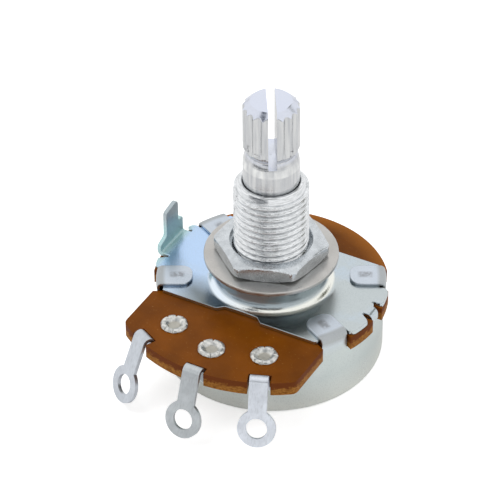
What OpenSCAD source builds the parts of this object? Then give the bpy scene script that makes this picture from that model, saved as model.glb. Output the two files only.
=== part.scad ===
// Rotary potentiometer, panel mounting, with a split knurled shaft, a threaded bushing and three solder lugs.
// Units are millimetres. The origin is the centre of the mounting face on the shaft's axis, +Z runs along
// the shaft and -Y points at the centre terminal. The shaft is drawn at the middle of its turn.

/* [Shaft] */
// Diameter of the shaft
shaft_d = 6; // [5:0.1:6.3]
// Length of the shaft above the mounting face
shaft_length = 20; // [18:0.5:30]
// Length of the knurled head, from the tip to the end of its full diameter
knurl_length = 5.5; // [5:0.1:6.5]
// Height of the taper under the knurled head
knurl_lead_h = 0.75; // [0.4:0.05:1]
// Number of flutes round the knurled head
knurl_flutes = 18; // [12:1:24]
// Depth of each flute
flute_depth = 0.22; // [0.1:0.02:0.3]
// Height of the chamfer at the tip
tip_chamfer_h = 0.8; // [0.3:0.1:1.2]
// Width of the chamfer at the tip
tip_chamfer_w = 0.86; // [0.3:0.02:1]
// Diameter of the neck under the knurled head
neck_d = 5.2; // [4.4:0.1:5.4]
// Height of the neck under the knurled head
neck_h = 0.1; // [0.05:0.05:0.4]
// Height of the rounded shoulder under the neck
shoulder_h = 1; // [0.4:0.1:1.2]
// Width of the slot across the head
slot_w = 0.9; // [0.6:0.1:1.4]
// Depth of the slot from the tip
slot_depth = 6.9; // [4:0.1:7.2]
// Turn of the slot from the Y axis
slot_turn = 31.6; // [0:0.1:180]

/* [Bushing] */
// Major diameter of the bushing's thread
thread_d = 8; // [7.6:0.1:9]
// Pitch of the thread
thread_pitch = 0.75; // [0.5:0.05:1]
// Length of the bushing above the mounting face
bushing_length = 10; // [7:0.5:12]
// Plain length at the bushing's mouth, above the thread
bushing_mouth_h = 0.75; // [0.5:0.05:1]
// Radial running clearance of the shaft in the bushing
running_clearance = 0.05; // [0.03:0.01:0.09]
// Diameter of the collar that is staked inside the boss
collar_d = 10; // [9:0.1:10.4]
// Thickness of that collar
collar_t = 1.2; // [0.8:0.1:1.4]

/* [Nut and washer] */
// Width of the nut across its flats
nut_flats = 10.8; // [10:0.1:12]
// Thickness of the nut
nut_t = 1.7; // [1.2:0.1:3]
// Turn of the nut's first corner from the X axis
nut_turn = 21; // [0:0.5:60]
// Outer diameter of the flat washer
washer_d = 14.3; // [13:0.1:16]
// Hole in the flat washer
washer_hole_d = 8.4; // [8.1:0.1:9]
// Thickness of the flat washer
washer_t = 0.5; // [0.3:0.1:1]

/* [Mounting plate] */
// Thickness of the plate's sheet
plate_t = 0.5; // [0.4:0.05:0.7]
// Radius of the plate's rounded ends
plate_end_r = 12.6; // [12.3:0.1:13.5]
// Width of the plate from its front edge to its back edge
plate_width = 14.7; // [14.2:0.1:16]
// Outer diameter of the drawn boss
boss_d = 11.6; // [11.4:0.1:12.4]
// Height of the boss above the plate
boss_h = 3; // [2.9:0.1:4]
// Radius at the boss's top edge
boss_edge_r = 0.7; // [0.7:0.05:1]
// Radius at the boss's foot
boss_foot_r = 1.3; // [0.6:0.1:1.4]
// Radius of the plate's corners beside the tabs
plate_corner_r = 0.7; // [0.3:0.1:1]
// Depth of the relief in the middle of each long edge
relief_depth = 0.65; // [0.3:0.05:0.7]
// Length of that relief
relief_length = 3.9; // [3:0.1:6]
// Width of the locating lug at its foot
lug_foot_w = 4.8; // [3.6:0.1:5]
// Width of the locating lug at its top
lug_w = 2.5; // [1.8:0.1:2.8]
// Height of the lug's top above the mounting face
lug_top = 1.6; // [1:0.1:3]
// Width of the tongue that hooks the wafer
tongue_w = 1.4; // [1:0.1:1.6]
// Drop of the tongue below the top of the plate
tongue_drop = 1.3; // [1:0.1:1.8]

/* [Wafer] */
// Thickness of the laminate wafer
wafer_t = 1.6; // [1.2:0.1:2]
// Radius of the wafer's round part
wafer_r = 12.6; // [12.4:0.1:13]
// Forward shift of the wafer's round part, within its play in the can
wafer_shift = 0.15; // [0:0.05:0.2]
// Radius of the wafer's front edge, about the shaft's axis
wafer_front_r = 16.9; // [16.4:0.1:18]
// Width of the wafer's front part
wafer_front_w = 20.4; // [19:0.1:21]
// Radius of the wafer's front corners
wafer_corner_r = 1; // [0.4:0.1:2]
// Hole in the middle of the wafer
wafer_hole_d = 9.6; // [9.2:0.1:10]
// Clearance of the wafer round each tab and tongue
wafer_gap = 0.15; // [0.05:0.05:0.2]
// Thickness of the printed films
film_t = 0.05; // [0.03:0.01:0.1]

/* [Rear can] */
// Outer diameter of the can
can_d = 24; // [23.6:0.1:24.4]
// Thickness of the can's sheet
can_t = 0.35; // [0.3:0.05:0.5]
// Depth of the can below the wafer
can_depth = 6.8; // [6:0.05:10]
// Radius of the can's back edge
can_edge_r = 0.8; // [0.6:0.1:1.4]
// Angle of each tab from the X axis
tab_angle = 28.5; // [27:0.5:30]
// Width of each tab
tab_w = 3.2; // [2.8:0.1:4]
// Distance of each tab's tip from the shaft's axis
tab_reach = 8.35; // [8:0.05:9.5]
// Outward lean of each tab's wall
tab_lean = 0.3; // [0:0.05:0.3]
// Reach of the pressed stop inside the can's wall
stop_reach = 1.15; // [0.9:0.05:1.3]
// Width of the pressed stop
stop_w = 6.6; // [5:0.1:6.6]

/* [Terminals and eyelets] */
// Thickness of the terminals' sheet
terminal_t = 0.4; // [0.3:0.05:0.5]
// Width of a terminal's strip
terminal_w = 1.95; // [1.6:0.05:2.4]
// Outer diameter of a terminal's ring
ring_d = 4.05; // [3.8:0.05:4.6]
// Hole in a terminal's ring
ring_hole_d = 2.2; // [1.6:0.1:2.6]
// Sideways distance of an outer eyelet from the centre line
eyelet_x = 5.36; // [5:0.02:5.6]
// Distance of the outer eyelets behind the middle of the wafer's front edge
eyelet_inset = 5.5; // [5.2:0.1:5.8]
// Distance of the centre eyelet behind the wafer's front edge
eyelet_mid_inset = 3.9; // [3.6:0.1:4.2]
// Turn of the left terminal from the centre line
left_turn = 28.5; // [15:0.1:30]
// Turn of the right terminal from the centre line
right_turn = 21; // [15:0.1:30]
// Extra length of the left terminal's leg
left_leg_extra = 0.3; // [0:0.05:0.4]
// Missing length of the right terminal's leg
right_leg_less = 0.25; // [0:0.05:0.4]
// Distance of a ring's centre from its eyelet, seen from above
ring_offset = 6; // [5.6:0.1:7.5]
// Depth of a ring's centre below the mounting face
ring_depth = 8.5; // [7.6:0.1:9]
// Width of the notch that each terminal passes
notch_w = 2.4; // [2.3:0.1:3.2]
// Diameter of an eyelet's flared end
eyelet_d = 2.96; // [2.6:0.02:3.2]
// Diameter of an eyelet's barrel
barrel_d = 2; // [1.6:0.1:2.2]
// Bore of an eyelet's barrel
eyelet_bore_d = 1.5; // [1:0.05:1.6]

/* [Rotor] */
// Diameter of the rotor's disc
rotor_d = 19.2; // [18:0.1:19.6]
// Thickness of the rotor's disc
rotor_t = 1.6; // [1.2:0.1:2]
// Space between the wafer and the rotor's disc
contact_space = 1.4; // [1.2:0.1:1.6]
// Width of the rotor's stop lug
stop_lug_w = 4; // [3:0.1:4.2]
// Thickness of the wiper's sheet
wiper_t = 0.25; // [0.15:0.05:0.3]
// Distance between the resistive track and the can's wall
track_margin = 1.75; // [1.6:0.05:2]
// Width of the resistive track
track_w = 1.6; // [1.2:0.1:1.8]
// Width of the conductor ring
pickup_w = 1.6; // [1.2:0.1:1.6]
// Distance between the conductor ring and the resistive track
pickup_space = 1.2; // [1:0.1:1.4]
// Angle left open at the front of the resistive track
track_gap = 66; // [50:1:80]

/* [Hidden] */
$fn = 96;

eps = 0.01;
cut = 1;                              // overrun of a cutting shape
face_gap = 0.02;                      // gap between pieces that are pressed or staked together
end_play = 0.05;                      // axial play of the shaft in the bushing

shaft_r = shaft_d / 2;
journal_r = shaft_r - 0.02;           // journal, ground a little under the plain part
bore_r = journal_r + running_clearance;
thread_r = thread_d / 2;
thread_root_r = thread_r - 0.54 * thread_pitch;

plate_top = -boss_h;
plate_under = plate_top - plate_t;
wafer_top = plate_under;
wafer_under = wafer_top - wafer_t;
can_r = can_d / 2;
can_in_r = can_r - can_t;
can_back = wafer_under - can_depth;
boss_r = boss_d / 2;

knurl_z = shaft_length - knurl_length;
neck_r = neck_d / 2;
neck_z = knurl_z - knurl_lead_h - neck_h;
shoulder_z = neck_z - shoulder_h;
flute_r = 0.45;                       // radius of the cutter that forms a flute

collar_z = -plate_t - collar_t;
thrust_washer_t = 0.3;
clip_t = 0.5;
clip_top = collar_z - thrust_washer_t - end_play;
groove_r = 0.8 * shaft_r;
clip_d = 8.8;
clip_slack = 0.02;                    // slack of the retaining ring in its groove
spigot_z = clip_top - clip_t - 0.4;   // shoulder on which the rotor seats
spigot_r = shaft_r - 0.4;
spigot_flats = 4;
staked_head_t = 0.4;

rotor_top = wafer_under - contact_space;
rotor_under = rotor_top - rotor_t;
rotor_r = rotor_d / 2;
hub_r = wafer_hole_d / 2 - 0.5;
hub_under = rotor_under - 1;
stop_lug_reach = can_in_r - 0.4;
stake_r = 0.5;

strip_z = wafer_under - film_t - terminal_t / 2;   // middle of a terminal's flat part
eyelet_head_t = 0.4;
flange_t = 0.35;
rim_drop = 1;                         // lowered part of the can's rim under the eyelets

// Terminals stand at the left, the centre and the right: place of the eyelet and turn of the strip.
eyelet_y = wafer_front_r - eyelet_inset;
eyelet_mid_y = wafer_front_r - eyelet_mid_inset;
LEFT = [[-eyelet_x, -eyelet_y], -left_turn, left_leg_extra];
CENTRE = [[0, -eyelet_mid_y], 0, 0];
RIGHT = [[eyelet_x, -eyelet_y], right_turn, -right_leg_less];
SEATS = [LEFT, CENTRE, RIGHT];

// Profile of a terminal in its own upright plane: distance outwards from the eyelet, and height.
notch_start = 2.95;                   // inner wall of the notch, measured from the eyelet
riser = notch_start + 0.05 + terminal_t / 2;
crest_z = wafer_top + 0.15;
crest_run = 0.85;                     // run of the strip over the wafer's edge, before its bends
strip_bend_r = 0.5;                   // middle line of the strip's bends
ring_at = [ring_offset, -ring_depth];
leg = ring_at - [riser + crest_run, crest_z];
leg_angle = atan2(leg[1], leg[0]);
strip_path = [[0, strip_z], [riser, strip_z], [riser, crest_z], [riser + crest_run, crest_z]];

track_r = can_in_r - track_margin - track_w / 2;
pickup_r = track_r - track_w / 2 - pickup_space - pickup_w / 2;
pad_r = 1.75;                         // printed pad round an eyelet
lead_w = 1.6;                         // printed lead between a film and its pad
wiper_arm = 3.2;                      // run of the wiper's arms from their root to the film
film_clear = 0.05;                    // the wiper's contacts stand this far off the films
contact_rise = 0.05;                  // the contact's corner lies this far above the rounded bend's middle
wiper_root = 1.2;

// Points along an arc, with its end points.
function arc_points(centre, r, from, to, steps = 8) =
    [for (i = [0:steps]) centre + r * [cos(from + (to - from) * i / steps), sin(from + (to - from) * i / steps)]];
function reversed(list) = [for (i = [len(list) - 1:-1:0]) list[i]];
function unit(v) = v / norm(v);
function turn_at(path, i) =
    let (a = unit(path[i] - path[i - 1]), b = unit(path[i + 1] - path[i])) atan2(cross(a, b), a * b);
// Distance from a corner at which its rounding of radius r starts; zero at the ends of the path.
function setback(path, i, r) = i == 0 || i == len(path) - 1 ? 0 : r * tan(abs(turn_at(path, i)) / 2);

// Points along one side of a bent strip, at the distance off to the left of its middle line.
function bend_points(path, i, r, off) =
    let (turn = turn_at(path, i), side = sign(turn), a = unit(path[i] - path[i - 1]),
         centre = path[i] - a * setback(path, i, r) + side * r * [-a[1], a[0]],
         heading = atan2(a[1], a[0]) - side * 90)
    arc_points(centre, r - side * off, heading, heading + turn);
function side_points(path, r, off) =
    let (last = len(path) - 1, a = unit(path[1] - path[0]), b = unit(path[last] - path[last - 1]))
    concat([path[0] + off * [-a[1], a[0]]], [for (i = [1:1:last - 1]) each bend_points(path, i, r, off)],
           [path[last] + off * [-b[1], b[0]]]);

// Side view of a bent strip of thickness t, whose bends have the radius r on its middle line.
module bent_profile(path, r, t) {
    polygon(concat(side_points(path, r, t / 2), reversed(side_points(path, r, -t / 2))));
}

// Stands a side view, drawn as distance outwards and height, on its edge and gives it a width.
module upright(width) {
    rotate([90, 0, 0]) translate([0, 0, -width / 2]) linear_extrude(width) children();
}

module at_each_tab() {
    for (a = [tab_angle, 180 - tab_angle, 180 + tab_angle, -tab_angle]) rotate(a) children();
}

// Puts a shape that runs along +X onto a terminal's place, running outwards.
module at_seat(seat) {
    translate(seat[0]) rotate(seat[1] - 90) children();
}

module sector(inner_r, outer_r, from, to) {
    mid = (from + to) / 2;
    far = 2 * outer_r;
    intersection() {
        difference() {
            circle(outer_r);
            circle(inner_r);
        }
        polygon([[0, 0], far * [cos(from), sin(from)], far * [cos(mid), sin(mid)], far * [cos(to), sin(to)]]);
    }
}

module shaft() color("lavender") {
    tip_r = shaft_r - tip_chamfer_w;
    clip_under = clip_top - clip_t;
    top = 60;
    shoulder = [for (i = [0:6]) let (a = i * top / 6)
        [neck_r + (shaft_r - neck_r) * (cos(a) - cos(top)) / (1 - cos(top)), shoulder_z + shoulder_h * sin(a) / sin(top)]];
    difference() {
        union() {
            rotate_extrude() polygon(concat([
                [0, spigot_z], [journal_r, spigot_z],
                [journal_r, clip_under - clip_slack], [groove_r, clip_under - clip_slack],
                [groove_r, clip_top + clip_slack], [journal_r, clip_top + clip_slack],
                [journal_r, bushing_length + 0.1], [shaft_r, bushing_length + 0.1]], shoulder,
                [[neck_r, neck_z + neck_h], [shaft_r, knurl_z], [shaft_r, shaft_length - tip_chamfer_h],
                 [tip_r, shaft_length], [0, shaft_length]]));
            intersection() {
                translate([0, 0, rotor_under]) cylinder(r = spigot_r, h = spigot_z - rotor_under + eps);
                translate([-spigot_flats / 2, -shaft_r, rotor_under])
                    cube([spigot_flats, shaft_d, spigot_z - rotor_under + eps]);
            }
            translate([0, 0, hub_under - staked_head_t])
                cylinder(r = spigot_flats / 2, h = rotor_under - hub_under + staked_head_t + eps);
            translate([0, 0, hub_under - staked_head_t]) cylinder(r1 = spigot_r - 0.2, r2 = spigot_r + 0.1,
                                                                  h = staked_head_t);
        }
        rotate(-90 + slot_turn) {
            translate([-shaft_d, -slot_w / 2, shaft_length - slot_depth]) cube([2 * shaft_d, slot_w, slot_depth + cut]);
            for (i = [0:knurl_flutes - 1]) rotate((i + 0.5) * 360 / knurl_flutes)
                translate([shaft_r + flute_r - flute_depth, 0, neck_z + neck_h / 2])
                    cylinder(r = flute_r, h = shaft_length, $fn = 24);
        }
    }
}

module bushing() color("silver") {
    mouth_z = bushing_length - bushing_mouth_h;
    turns = floor((mouth_z - 0.3) / thread_pitch);
    flank = 0.42 * thread_pitch;
    thread = [for (i = [0:turns - 1]) let (z = mouth_z - i * thread_pitch)
        each [[thread_r, z - 0.08 * thread_pitch], [thread_root_r, z - 0.08 * thread_pitch - flank],
              [thread_r, z - 0.08 * thread_pitch - 2 * flank]]];
    rotate_extrude() polygon(concat(
        [[bore_r, collar_z], [collar_d / 2, collar_z], [collar_d / 2, -plate_t], [thread_r, -plate_t]],
        reversed(thread),
        [[thread_r - 0.29, mouth_z], [thread_r - 0.54, bushing_length - 0.12],
         [thread_r - 0.62, bushing_length], [bore_r + 0.1, bushing_length], [bore_r, bushing_length - 0.1]]));
}

module hex_nut() color("gainsboro") {
    corner_r = nut_flats / sqrt(3);
    hole_r = thread_r + face_gap;
    sink = 0.45;
    clip_r = corner_r - 0.1;
    chamfer = clip_r - nut_flats / 2 + 0.1;
    translate([0, 0, washer_t]) difference() {
        intersection() {
            rotate(nut_turn) cylinder(r = corner_r, h = nut_t, $fn = 6);
            rotate_extrude() polygon([
                [0, 0], [clip_r - chamfer, 0], [clip_r, chamfer / 2], [clip_r, nut_t - chamfer / 2],
                [clip_r - chamfer, nut_t], [0, nut_t]]);
        }
        translate([0, 0, -cut]) cylinder(r = hole_r, h = nut_t + 2 * cut);
        translate([0, 0, nut_t - sink]) cylinder(r1 = hole_r, r2 = hole_r + sink, h = sink + eps);
        translate([0, 0, -eps]) cylinder(r1 = hole_r + sink, r2 = hole_r, h = sink);
    }
}

module flat_washer() color("#b9b2aa") {
    rim = 0.08;
    rotate_extrude() polygon([
        [washer_hole_d / 2, 0], [washer_d / 2 - rim, 0], [washer_d / 2, rim], [washer_d / 2, washer_t - rim],
        [washer_d / 2 - rim, washer_t], [washer_hole_d / 2, washer_t]]);
}

// Section through the drawn boss, from the hole for the bushing out to the flat of the plate.
module boss_section() {
    foot = [boss_r + boss_foot_r, plate_top + boss_foot_r];
    edge = [boss_r - boss_edge_r, -boss_edge_r];
    flange_r = foot[0] + 0.4;
    hole_r = thread_r + face_gap;
    polygon(concat(
        [[hole_r, 0]], reversed(arc_points(edge, boss_edge_r, 0, 90)),
        arc_points(foot, boss_foot_r, 180, 270),
        [[flange_r, plate_top], [flange_r, plate_under]],
        reversed(arc_points(foot, boss_foot_r + plate_t, 180, 270)),
        arc_points(edge, boss_edge_r - plate_t, 0, 90), [[hole_r, -plate_t]]));
}

module edge_relief() {
    slope = 0.7;
    y = plate_width / 2;
    polygon([[-relief_length / 2 - slope, -y - cut], [-relief_length / 2 - slope, -y],
             [-relief_length / 2, relief_depth - y], [relief_length / 2, relief_depth - y],
             [relief_length / 2 + slope, -y], [relief_length / 2 + slope, -y - cut]]);
}

ear_y = 0.45;                          // both ears stand a little behind the shaft's axis
lug_face = plate_end_r - 0.2;          // inner face of the upright lug, from the shaft's axis
bend_r = 0.45;                         // middle line of the plate's bends
slit = 0.25;                           // slit on each side of an ear, next to its bend
ear_root = plate_end_r - 1.2;          // where both ears leave the plate's flat
tongue_face = plate_end_r - 0.68;      // inner face of the turned-down tongue
tongue_y = ear_y - 0.4;                // middle of the tongue's end

// Upright lug that stops the body turning: wide foot, one sloping and one square shoulder, narrower top.
module locating_lug() {
    middle = plate_top - plate_t / 2;
    outer = lug_face + plate_t / 2;
    front = -lug_foot_w / 2;
    back = lug_foot_w / 2;
    top_front = ear_y + 0.2 - lug_w / 2;
    top_back = ear_y + 0.2 + lug_w / 2;
    flare_z = plate_top + 0.95;
    shoulder_top = plate_top + 1.85;
    corner = 0.4;
    top_slope = 0.25;
    intersection() {
        mirror([1, 0, 0]) translate([0, ear_y, 0]) upright(2 * lug_foot_w)
            bent_profile([[ear_root - eps, middle], [outer, middle], [outer, lug_top + cut]], bend_r, plate_t);
        translate([-plate_end_r - 2, 0, 0]) rotate([90, 0, 90]) linear_extrude(4) polygon(concat(
            [[ear_y + front, plate_under - cut]],
            arc_points([ear_y + front + corner, flare_z - corner], corner, 180, 110, 5),
            arc_points([top_front - corner, flare_z + 0.65], corner, -70, 0, 5),
            arc_points([top_front + corner, lug_top - top_slope - corner], corner, 180, 100, 5),
            arc_points([top_back - 1.5 * corner, lug_top - 1.5 * corner], 1.5 * corner, 95, 0, 6),
            arc_points([top_back + 0.2, shoulder_top + 0.15], 0.2, 180, 270, 3),
            arc_points([ear_y + back - corner, shoulder_top - corner], corner, 90, 0, 5),
            [[ear_y + back, plate_under - cut]]));
    }
}

// Short ear on the other side, turned down into the wafer's notch and narrower at its end.
module hook_tongue() {
    middle = plate_top - plate_t / 2;
    outer = tongue_face + plate_t / 2;
    end_front = tongue_y - tongue_w / 2;
    end_back = tongue_y + tongue_w / 2;
    intersection() {
        translate([0, ear_y, 0]) upright(4)
            bent_profile([[ear_root - eps, middle], [outer, middle], [outer, plate_top - tongue_drop]],
                         bend_r, plate_t);
        translate([0, 0, plate_top - 2]) linear_extrude(3) polygon([
            [ear_root - cut, end_front], [outer + cut, end_front], [outer + cut, end_back],
            [outer - 0.3, end_back], [ear_root + 0.2, end_back + 0.5], [ear_root - cut, end_back + 0.5]]);
    }
}

// Opening round an ear in the plate's end. Its front side slopes away, its back side by the given slope,
// and both open further at the plate's edge, whose tips are blunt.
module ear_window(front, back, back_slope) {
    tip = [0.8, 1.2];
    slope = 0.73;
    polygon([
        [ear_root, front], [ear_root + tip[0], front - slope * tip[0]],
        [ear_root + tip[1], front - slope * tip[1] - 0.25], [ear_root + 3, front - slope * tip[1] - 0.5],
        [ear_root + 3, back + back_slope * tip[1] + 0.5], [ear_root + tip[1], back + back_slope * tip[1] + 0.25],
        [ear_root + tip[0], back + back_slope * tip[0]], [ear_root, back]]);
}

// What rounds the plate's corner beside a tab's notch, seen along the tab.
module tab_corner(side) {
    r = plate_corner_r;
    centre = [sqrt(pow(plate_end_r - r, 2) - pow(side + r, 2)), -side - r];
    bearing = atan2(centre[1], centre[0]);
    far = plate_end_r + 1;
    polygon(concat([[centre[0], cut - side], [far, cut - side], far * [cos(bearing), sin(bearing)]],
                   arc_points(centre, r, bearing, 90, 6)));
}

module mounting_plate() color("#b4c9dc") {
    notch_r = can_in_r - wafer_gap;
    difference() {
        union() {
            translate([0, 0, plate_under]) linear_extrude(plate_t) difference() {
                intersection() {
                    circle(plate_end_r);
                    square([3 * plate_end_r, plate_width], center = true);
                }
                circle(boss_r + boss_foot_r);
                ear_window(tongue_y - tongue_w / 2 - slit, tongue_y + tongue_w / 2 + 0.5 + slit, 0);
                mirror([1, 0]) ear_window(ear_y - lug_foot_w / 2 - slit, ear_y + lug_foot_w / 2 + slit, 0.4);
            }
            rotate_extrude() boss_section();
        }
        translate([0, 0, plate_under - cut]) linear_extrude(plate_t + 2 * cut) {
            edge_relief();
            mirror([0, 1]) edge_relief();
            for (sides = [[1, 1], [1, -1], [-1, 1], [-1, -1]]) scale(sides) rotate(tab_angle) {
                translate([notch_r, -tab_w / 2 - wafer_gap]) square([3, tab_w + 2 * wafer_gap + 3]);
                tab_corner(tab_w / 2 + wafer_gap);
            }
        }
    }
    locating_lug();
    hook_tongue();
}

// Round part of the wafer, with the front part that carries the terminals: straight sides, rounded
// corners and a front edge about the shaft's axis.
module wafer_outline() {
    half = wafer_front_w / 2;
    r = wafer_corner_r;
    corner_x = half - r;
    corner_y = -sqrt(pow(wafer_front_r - r, 2) - pow(corner_x, 2));
    bearing = atan2(corner_y, corner_x);
    front = arc_points([0, 0], wafer_front_r, -180 - bearing, bearing, 24);
    translate([0, -wafer_shift]) circle(wafer_r);
    polygon(concat(
        [[-half, 0]], arc_points([-corner_x, corner_y], r, -180, -180 - bearing, 6),
        [for (i = [1:len(front) - 2]) front[i]],
        arc_points([corner_x, corner_y], r, bearing, 0, 6), [[half, 0]]));
}

module wafer() color("#8a4f22") {
    notch_r = can_in_r - wafer_gap;
    hook_r = tongue_face - 0.12 - wafer_gap;
    translate([0, 0, wafer_under]) linear_extrude(wafer_t) difference() {
        wafer_outline();
        circle(d = wafer_hole_d);
        at_each_tab() translate([notch_r, -tab_w / 2 - wafer_gap]) square([3, tab_w + 2 * wafer_gap]);
        for (side = [1, -1]) scale([side, 1])
            translate([hook_r, tongue_y - tongue_w / 2 - wafer_gap]) square([3, tongue_w + 0.5 + 2 * wafer_gap]);
        for (seat = SEATS) at_seat(seat) {
            circle(d = barrel_d + 2 * face_gap);
            translate([notch_start, -notch_w / 2]) square([6, notch_w]);
        }
    }
}

// Tab folded over the plate: the wall runs up, turns inwards and ends in a tip with rounded corners.
module can_tab() {
    fold_r = 0.2 + can_t / 2;
    wall = can_r - can_t / 2;
    lid = plate_top + can_t / 2;
    corner = 1.2;
    side = tab_w / 2 - corner;
    intersection() {
        rotate_extrude() bent_profile([[wall, wafer_under - 1], [wall + tab_lean, lid], [tab_reach - cut, lid]],
                                      fold_r, can_t);
        translate([0, 0, wafer_under - 1]) linear_extrude(wafer_t + plate_t + 2) polygon(concat(
            [[can_r + cut, -tab_w / 2], [can_r + cut, tab_w / 2]],
            arc_points([tab_reach + corner, side], corner, 90, 180, 6),
            arc_points([tab_reach + corner, -side], corner, 180, 270, 6)));
    }
}

module rear_can() color("#aab4b2") {
    stop_z = rotor_under - 0.5;
    stop_h = rotor_t + 0.4;
    difference() {
        union() {
            rotate_extrude() polygon(concat(
                [[0, can_back]], arc_points([can_r - can_edge_r, can_back + can_edge_r], can_edge_r, -90, 0),
                [[can_r, wafer_under], [can_in_r, wafer_under]],
                reversed(arc_points([can_r - can_edge_r, can_back + can_edge_r], can_edge_r - can_t, -90, 0)),
                [[0, can_back + can_t]]));
            intersection() {
                translate([-stop_w / 2, can_in_r - stop_reach, stop_z]) cube([stop_w, stop_reach + can_t / 2, stop_h]);
                translate([0, 0, stop_z - cut]) cylinder(r = can_r - can_t / 2, h = stop_h + 2 * cut);
            }
        }
        translate([can_t - stop_w / 2, can_in_r - stop_reach + can_t, stop_z + can_t])
            cube([stop_w - 2 * can_t, can_r, stop_h - 2 * can_t]);
        translate([0, 0, wafer_under - rim_drop]) linear_extrude(rim_drop + cut)
            sector(can_in_r - cut, can_r + cut, -90 - 37, -90 + 37);
    }
    at_each_tab() can_tab();
}

track_half_gap = track_gap / 2;

module film() {
    translate([0, 0, wafer_under - film_t]) linear_extrude(film_t) children();
}

module resistive_track() color("#2a2a2c") film() difference() {
    circle(track_r + track_w / 2);
    circle(track_r - track_w / 2);
    sector(0.1, track_r + track_w, -90 - track_half_gap, -90 + track_half_gap);
}

// Printed end of the track on the right, from the track to its eyelet.
module track_end() {
    near = track_half_gap - 90;
    difference() {
        union() {
            sector(track_r - track_w / 2, track_r + track_w / 2, near - 10, near);
            translate(RIGHT[0]) circle(pad_r);
            rotate(near - 5) translate([track_r, -lead_w / 2]) square([eyelet_y - track_r + 0.5, lead_w]);
        }
        translate(RIGHT[0]) circle(d = barrel_d + 2 * face_gap);
    }
}

module track_end_right() color("silver") film() track_end();
module track_end_left() color("silver") film() mirror([1, 0]) track_end();

module conductor_ring() color("silver") film() difference() {
    union() {
        circle(pickup_r + pickup_w / 2);
        translate([-lead_w / 2, -eyelet_mid_y]) square([lead_w, eyelet_mid_y - pickup_r]);
        translate(CENTRE[0]) circle(pad_r);
    }
    circle(pickup_r - pickup_w / 2);
    translate(CENTRE[0]) circle(d = barrel_d + 2 * face_gap);
}

// Solder lug: flat round end under the wafer, strip that climbs through the notch and turns down, and a ring.
module terminal(seat) {
    ring = ring_at + seat[2] * [cos(leg_angle), sin(leg_angle)];
    at_seat(seat) difference() {
        union() {
            upright(terminal_w) bent_profile(concat(strip_path, [ring]), strip_bend_r, terminal_t);
            translate([0, 0, strip_z]) cylinder(r = pad_r - 0.05, h = terminal_t, center = true);
            translate([ring[0], 0, ring[1]]) rotate([0, -leg_angle, 0])
                cylinder(d = ring_d, h = terminal_t, center = true);
        }
        translate([0, 0, strip_z]) cylinder(d = barrel_d + 2 * face_gap, h = cut, center = true);
        translate([ring[0], 0, ring[1]]) rotate([0, -leg_angle, 0])
            cylinder(d = ring_hole_d, h = 3 * terminal_t, center = true);
    }
}

module terminal_left() color("whitesmoke") terminal(LEFT);
module terminal_centre() color("whitesmoke") terminal(CENTRE);
module terminal_right() color("whitesmoke") terminal(RIGHT);

// Tubular rivet: plain head under the terminal, barrel, and a flared end that is split into petals.
module eyelet(seat) {
    head_top = strip_z - terminal_t / 2;
    flare = wafer_top + flange_t;
    petals = 8;
    split_w = 0.1;
    at_seat(seat) difference() {
        rotate_extrude() polygon([
            [0, head_top - eyelet_head_t], [eyelet_d / 2 - 0.25, head_top - eyelet_head_t],
            [eyelet_d / 2, head_top - 0.15], [eyelet_d / 2, head_top], [barrel_d / 2, head_top],
            [barrel_d / 2, wafer_top], [eyelet_d / 2, wafer_top], [eyelet_d / 2, wafer_top + 0.12],
            [eyelet_d / 2 - 0.28, flare], [eyelet_bore_d / 2 + 0.22, flare],
            [eyelet_bore_d / 2, wafer_top - 0.1], [0, wafer_top - 0.1]]);
        for (i = [0:petals - 1]) rotate((i + 0.5) * 360 / petals)
            translate([barrel_d / 2 + 0.1, -split_w / 2, wafer_top + 0.05]) cube([eyelet_d, split_w, cut]);
    }
}

module eyelet_left() color("silver") eyelet(LEFT);
module eyelet_centre() color("silver") eyelet(CENTRE);
module eyelet_right() color("silver") eyelet(RIGHT);

// Places of the two plastic stakes that hold the wiper on the rotor.
stakes = [for (a = [200, 340]) 5.6 * [cos(a), sin(a)]];

module rotor() color("ivory") difference() {
    union() {
        translate([0, 0, rotor_under]) cylinder(r = rotor_r, h = rotor_t);
        translate([0, 0, hub_under]) cylinder(r = hub_r + 0.6, h = rotor_under - hub_under + eps);
        translate([0, 0, rotor_top - eps]) cylinder(r = hub_r, h = spigot_z - rotor_top + eps);
        translate([-stop_lug_w / 2, -stop_lug_reach, rotor_under]) cube([stop_lug_w, 4, rotor_t]);
        for (place = stakes) translate([place[0], place[1], rotor_top - eps])
            cylinder(r = stake_r, h = wiper_t + 0.2 + eps, $fn = 32);
        for (i = [0:5]) rotate(i * 60 + 30)
            translate([hub_r, -0.4, rotor_under - 0.8]) cube([rotor_r - hub_r - 0.6, 0.8, 0.8 + eps]);
    }
    intersection() {
        translate([0, 0, rotor_under - cut]) cylinder(r = spigot_r + face_gap, h = 10);
        translate([-spigot_flats / 2 - face_gap, -shaft_d, rotor_under - eps])
            cube([spigot_flats + 2 * face_gap, 2 * shaft_d, 10]);
    }
    translate([0, 0, hub_under - cut]) cylinder(r = spigot_flats / 2 + face_gap, h = 5);
}

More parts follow.
